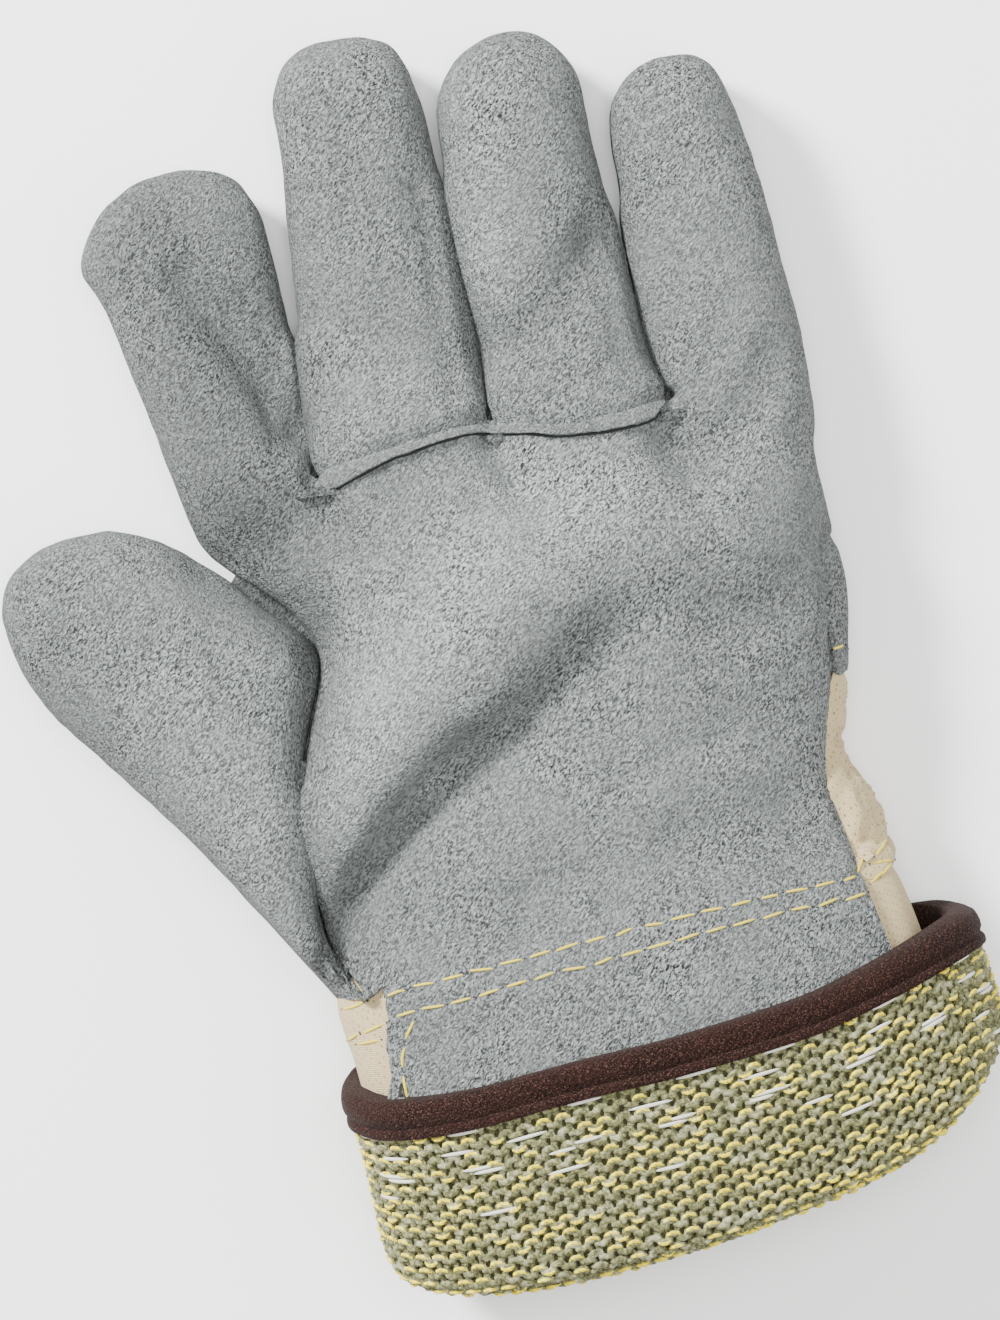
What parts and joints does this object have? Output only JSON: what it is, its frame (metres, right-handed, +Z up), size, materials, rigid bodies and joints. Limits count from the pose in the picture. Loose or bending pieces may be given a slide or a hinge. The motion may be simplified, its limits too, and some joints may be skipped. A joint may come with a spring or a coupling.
{
  "type": "rigger glove",
  "caption": "Left-hand work glove of split leather and canvas, lying palm up, open at a lined cuff that is turned back on itself.",
  "frame": {"origin": "on the floor, under the middle of the glove's bounding box", "axes": "+X from the thumb towards the little finger, +Y from the cuff to the fingertips, +Z up, out of the palm"},
  "size_m": [0.1984, 0.281, 0.0539],
  "materials": {
    "split_leather": "matte suede nap",
    "canvas": "matte plain weave",
    "knit": "matte knit of melange and yellow yarn",
    "binding_tape": "matte twill tape"
  },
  "bodies": {
    "root": {"palm_leather": "split_leather", "middle_finger_front": "split_leather", "ring_finger_front": "split_leather", "thumb_front": "split_leather", "thumb_back": "split_leather", "index_finger_back": "split_leather", "middle_finger_back": "split_leather", "ring_finger_back": "split_leather", "little_finger_back": "split_leather", "knuckle_strap": "split_leather", "finger_base_welt": "split_leather", "back_canvas": "canvas", "cuff_canvas": "canvas", "cuff_lining": "knit", "cuff_binding": "binding_tape"}
  },
  "joints": []
}
